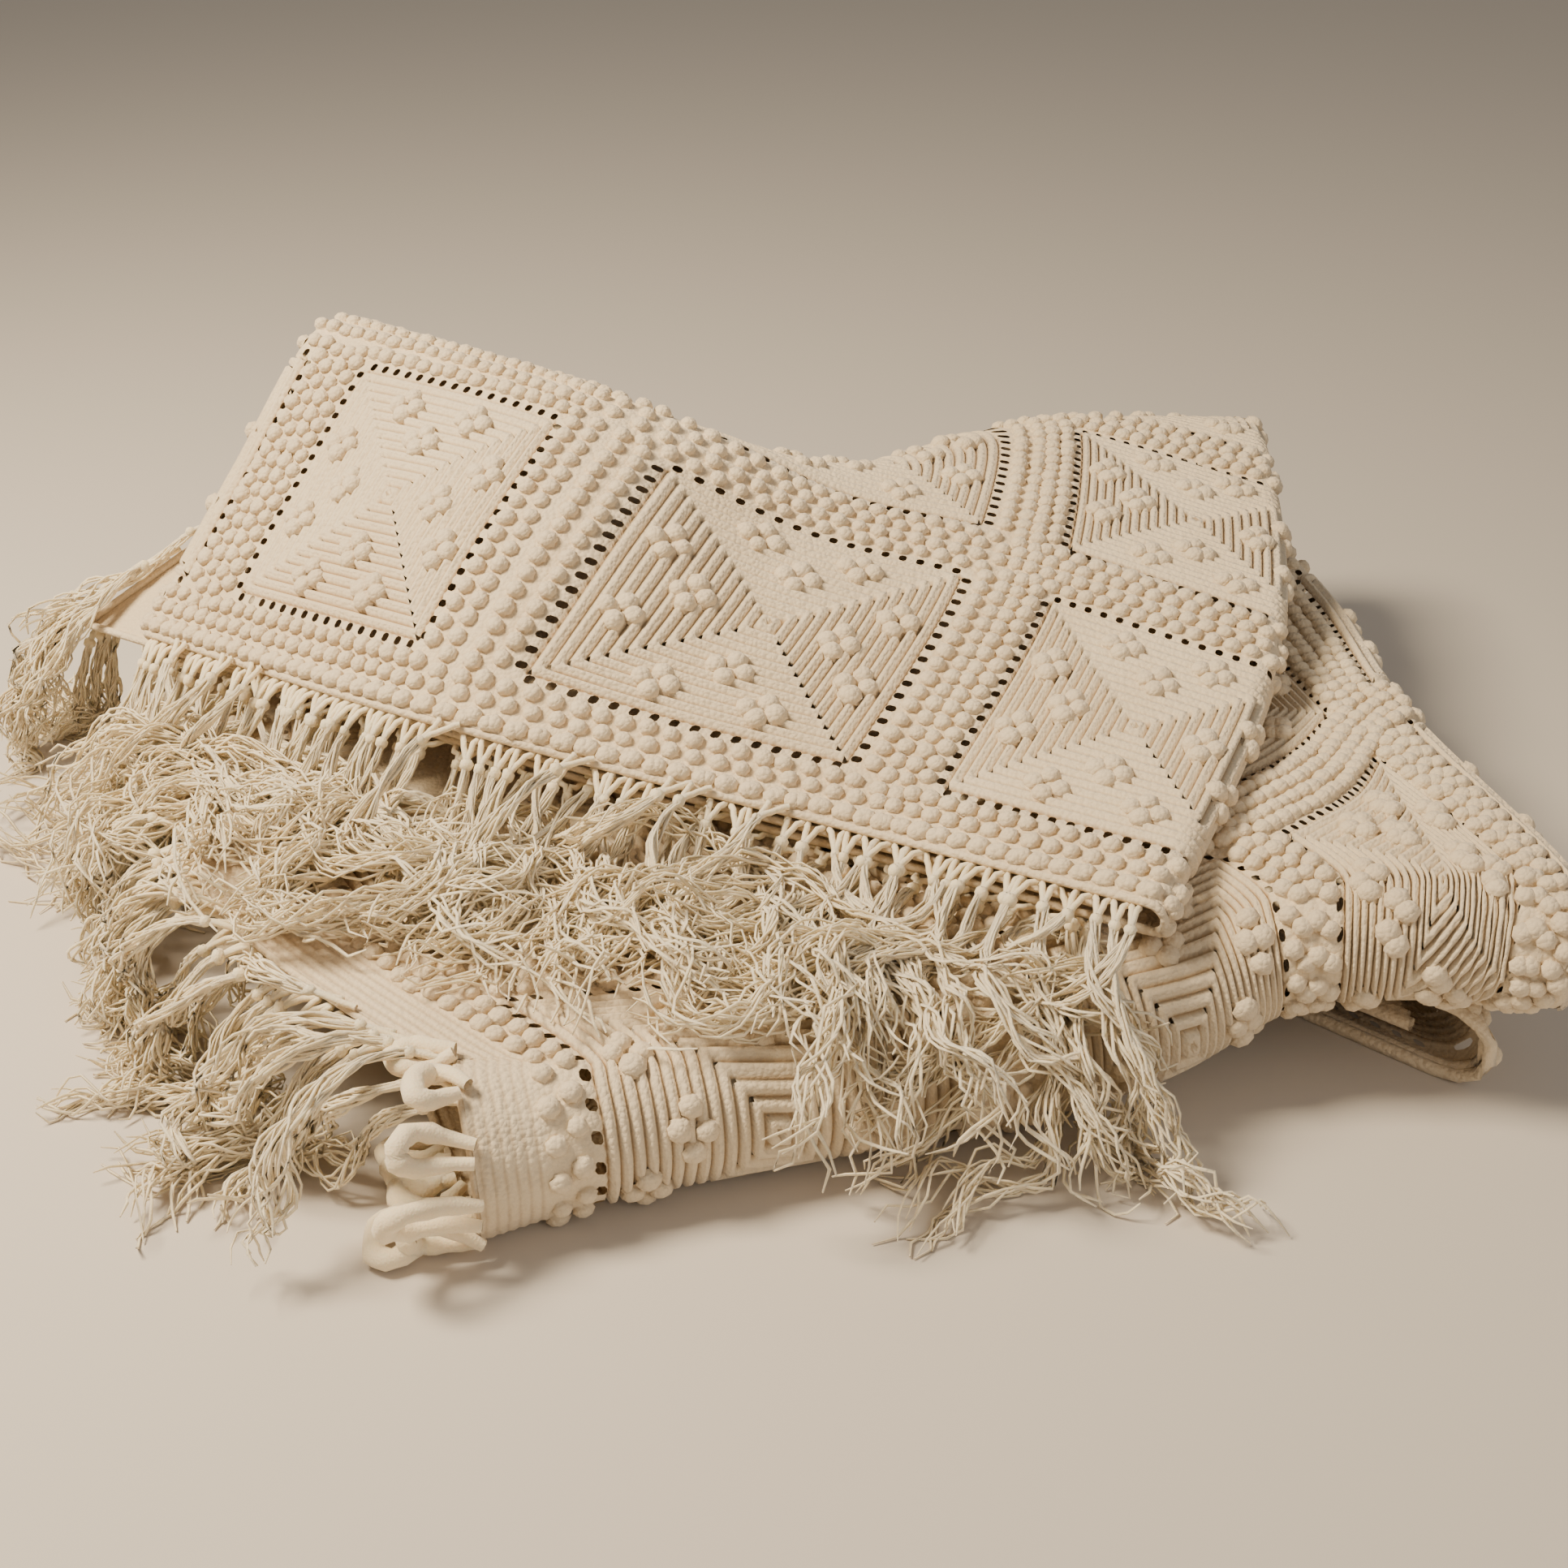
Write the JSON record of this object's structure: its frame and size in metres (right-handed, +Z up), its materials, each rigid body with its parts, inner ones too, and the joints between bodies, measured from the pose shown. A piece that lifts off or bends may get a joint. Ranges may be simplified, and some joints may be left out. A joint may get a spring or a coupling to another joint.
{
  "type": "crochet bedspread",
  "caption": "Heavy crochet bedspread of joined square popcorn blocks with a long fringe, folded in thirds, then back and forth, and laid down as a low heap.",
  "frame": {"origin": "middle of the heap's bounding box, at the level of the surface it rests on", "axes": "+Z up; -Y towards the rolled front fold and the hanging foot fringe; +X towards the open folded corner on the right"},
  "size_m": [0.7868, 0.6556, 0.2254],
  "materials": {
    "ivory_cotton": "matt crocheted cotton",
    "cream_fringe": "frizzy loose cotton strands"
  },
  "bodies": {
    "root": {"spread": "ivory_cotton", "foot_fringe": "cream_fringe", "side_fringe_flap": "cream_fringe", "side_fringe_pack": "cream_fringe"}
  },
  "joints": []
}
